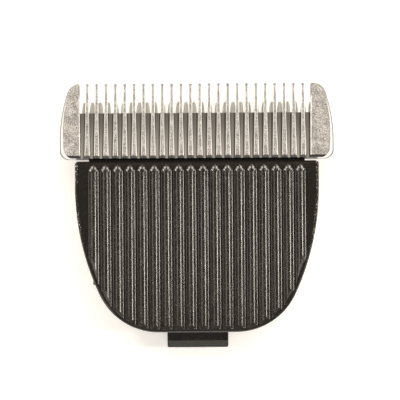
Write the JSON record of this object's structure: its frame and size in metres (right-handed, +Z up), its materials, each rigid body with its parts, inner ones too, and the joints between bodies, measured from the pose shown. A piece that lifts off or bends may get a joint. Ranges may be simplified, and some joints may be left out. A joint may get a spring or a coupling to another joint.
{
  "type": "hair clipper blade set",
  "caption": "Clip-on hair clipper blade: toothed steel comb over a sliding ceramic cutter, on a ribbed D-shaped plastic housing with drive fork, torsion springs and rear mounting tab.",
  "frame": {"origin": "centre of the overall box, on the plane that the blade set rests on", "axes": "+X along the row of teeth, +Y out past the comb's tips, +Z up out of the skin side"},
  "size_m": [0.0444, 0.0428, 0.0092],
  "materials": {
    "housing_plastic": "satin moulded black, dusty",
    "comb_steel": "blasted skin face, ground grooves",
    "cutter_ceramic": "ivory, finely ground",
    "follower_plastic": "satin moulded",
    "spring_wire": "drawn bright wire",
    "screw_steel": "turned"
  },
  "bodies": {
    "base": {"housing": "housing_plastic", "comb_blade": "comb_steel", "spring_left": "spring_wire", "spring_right": "spring_wire", "comb_screws": "screw_steel"},
    "cutter": {"cutter_blade": "cutter_ceramic", "drive_block": "follower_plastic"}
  },
  "joints": [
    {"name": "cutter_slide", "type": "slide", "parent": "base", "child": "cutter", "axis": [1, 0, 0], "range_m": [-0.00084, 0.00166]}
  ]
}
